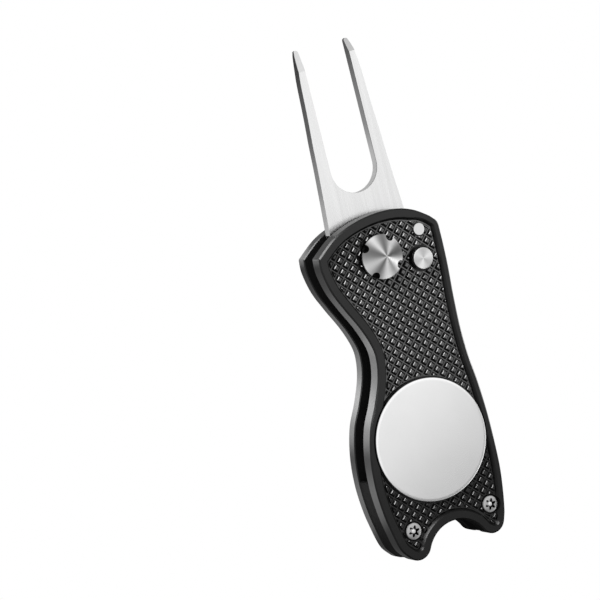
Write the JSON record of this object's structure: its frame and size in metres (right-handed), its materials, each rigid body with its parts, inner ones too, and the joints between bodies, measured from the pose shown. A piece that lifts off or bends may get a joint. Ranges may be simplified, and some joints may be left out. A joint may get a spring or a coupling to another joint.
{
  "type": "divot repair tool",
  "caption": "Folding divot repair tool: a flat two-tine fork turns out of a waisted, knurled two-scale metal handle with a release button and a removable magnetic ball marker.",
  "frame": {"origin": "on the plane of the back scale's rim, under the middle of the open tool's footprint", "axes": "+Y along the tool towards the open fork's tips, +Z out of the front scale's face, +X towards the straight spine side"},
  "size_m": [0.0286, 0.105, 0.0126],
  "materials": {
    "black_anodised": "satin black anodised",
    "black_spacer": "matte black",
    "brushed_fork": "brushed",
    "turned_steel": "turned, fine concentric marks",
    "satin_nickel": "satin plated",
    "bright_steel": "bright",
    "bronze": "plain",
    "spring_steel": "drawn wire",
    "magnet": "nickel plated"
  },
  "bodies": {
    "handle": {"front_scale": "black_anodised", "back_scale": "black_anodised", "spine_spacer": "black_spacer", "pivot_barrel": "turned_steel", "pivot_screw": "turned_steel", "front_washer": "bronze", "back_washer": "bronze", "opening_spring": "spring_steel", "button_spring": "spring_steel", "stop_pin": "bright_steel", "marker_magnet": "magnet", "front_screw_waist": "bright_steel", "front_screw_spine": "bright_steel", "back_screw_waist": "bright_steel", "back_screw_spine": "bright_steel", "standoff_waist": "bright_steel", "standoff_spine": "bright_steel"},
    "fork": {"fork": "brushed_fork"},
    "release_button": {"release_button": "turned_steel"},
    "ball_marker": {"ball_marker": "satin_nickel"}
  },
  "joints": [
    {"name": "fork_hinge", "type": "hinge", "parent": "handle", "child": "fork", "pos_m": [-0.00077, 0.00875, 0.005], "axis": [0, 0, 1], "range_deg": [0, 180], "stiffness_Nm_per_rad": 0.008, "springref_deg": -28.65, "deforming": ["opening_spring"]},
    {"name": "button_press", "type": "slide", "parent": "handle", "child": "release_button", "axis": [0, 0, -1], "range_m": [0, 0.0015], "stiffness_N_per_m": 300, "springref_m": -0.001, "deforming": ["button_spring"]},
    {"name": "marker_lift", "type": "slide", "parent": "handle", "child": "ball_marker", "axis": [0, 0, 1], "range_m": [0, 0.012], "stiffness_N_per_m": 20, "springref_m": -0.02}
  ]
}
